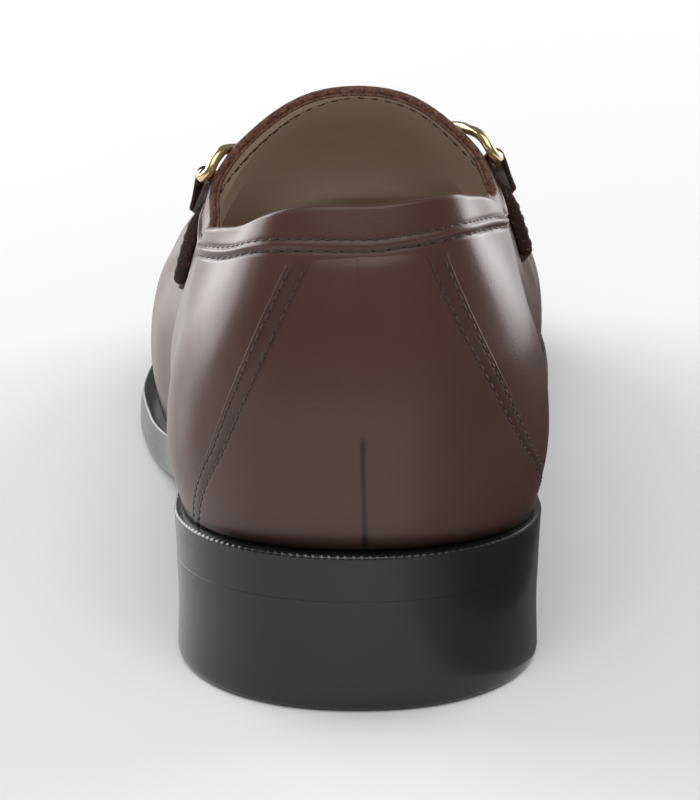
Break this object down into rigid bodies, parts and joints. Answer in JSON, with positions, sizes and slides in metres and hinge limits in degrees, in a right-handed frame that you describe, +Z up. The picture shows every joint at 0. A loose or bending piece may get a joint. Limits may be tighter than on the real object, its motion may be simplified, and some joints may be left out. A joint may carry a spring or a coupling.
{
  "type": "buckle loafer",
  "caption": "Left slip-on loafer in brown leather on a black welted sole with a low block heel, with a strap and a gilt ring on each side and a gilt bar across the instep.",
  "frame": {"origin": "on the floor, at the middle of the shoe's box in plan", "axes": "+Y from heel to toe, +Z up, +X to the wearer's right, the inner side of this left shoe"},
  "size_m": [0.0892, 0.2659, 0.0885],
  "materials": {
    "brown_leather": "smooth polished calf",
    "taupe_leather": "matt lining",
    "black_rubber": "satin",
    "gilt_metal": "polished gilt"
  },
  "bodies": {
    "root": {"outsole": "black_rubber", "welt": "black_rubber", "heel": "black_rubber", "insole": "taupe_leather", "upper": "brown_leather", "heel_counter": "brown_leather", "strap_lateral": "brown_leather", "strap_medial": "brown_leather", "bit_ring_lateral": "gilt_metal", "bit_ring_medial": "gilt_metal", "bit_bar": "gilt_metal"}
  },
  "joints": []
}
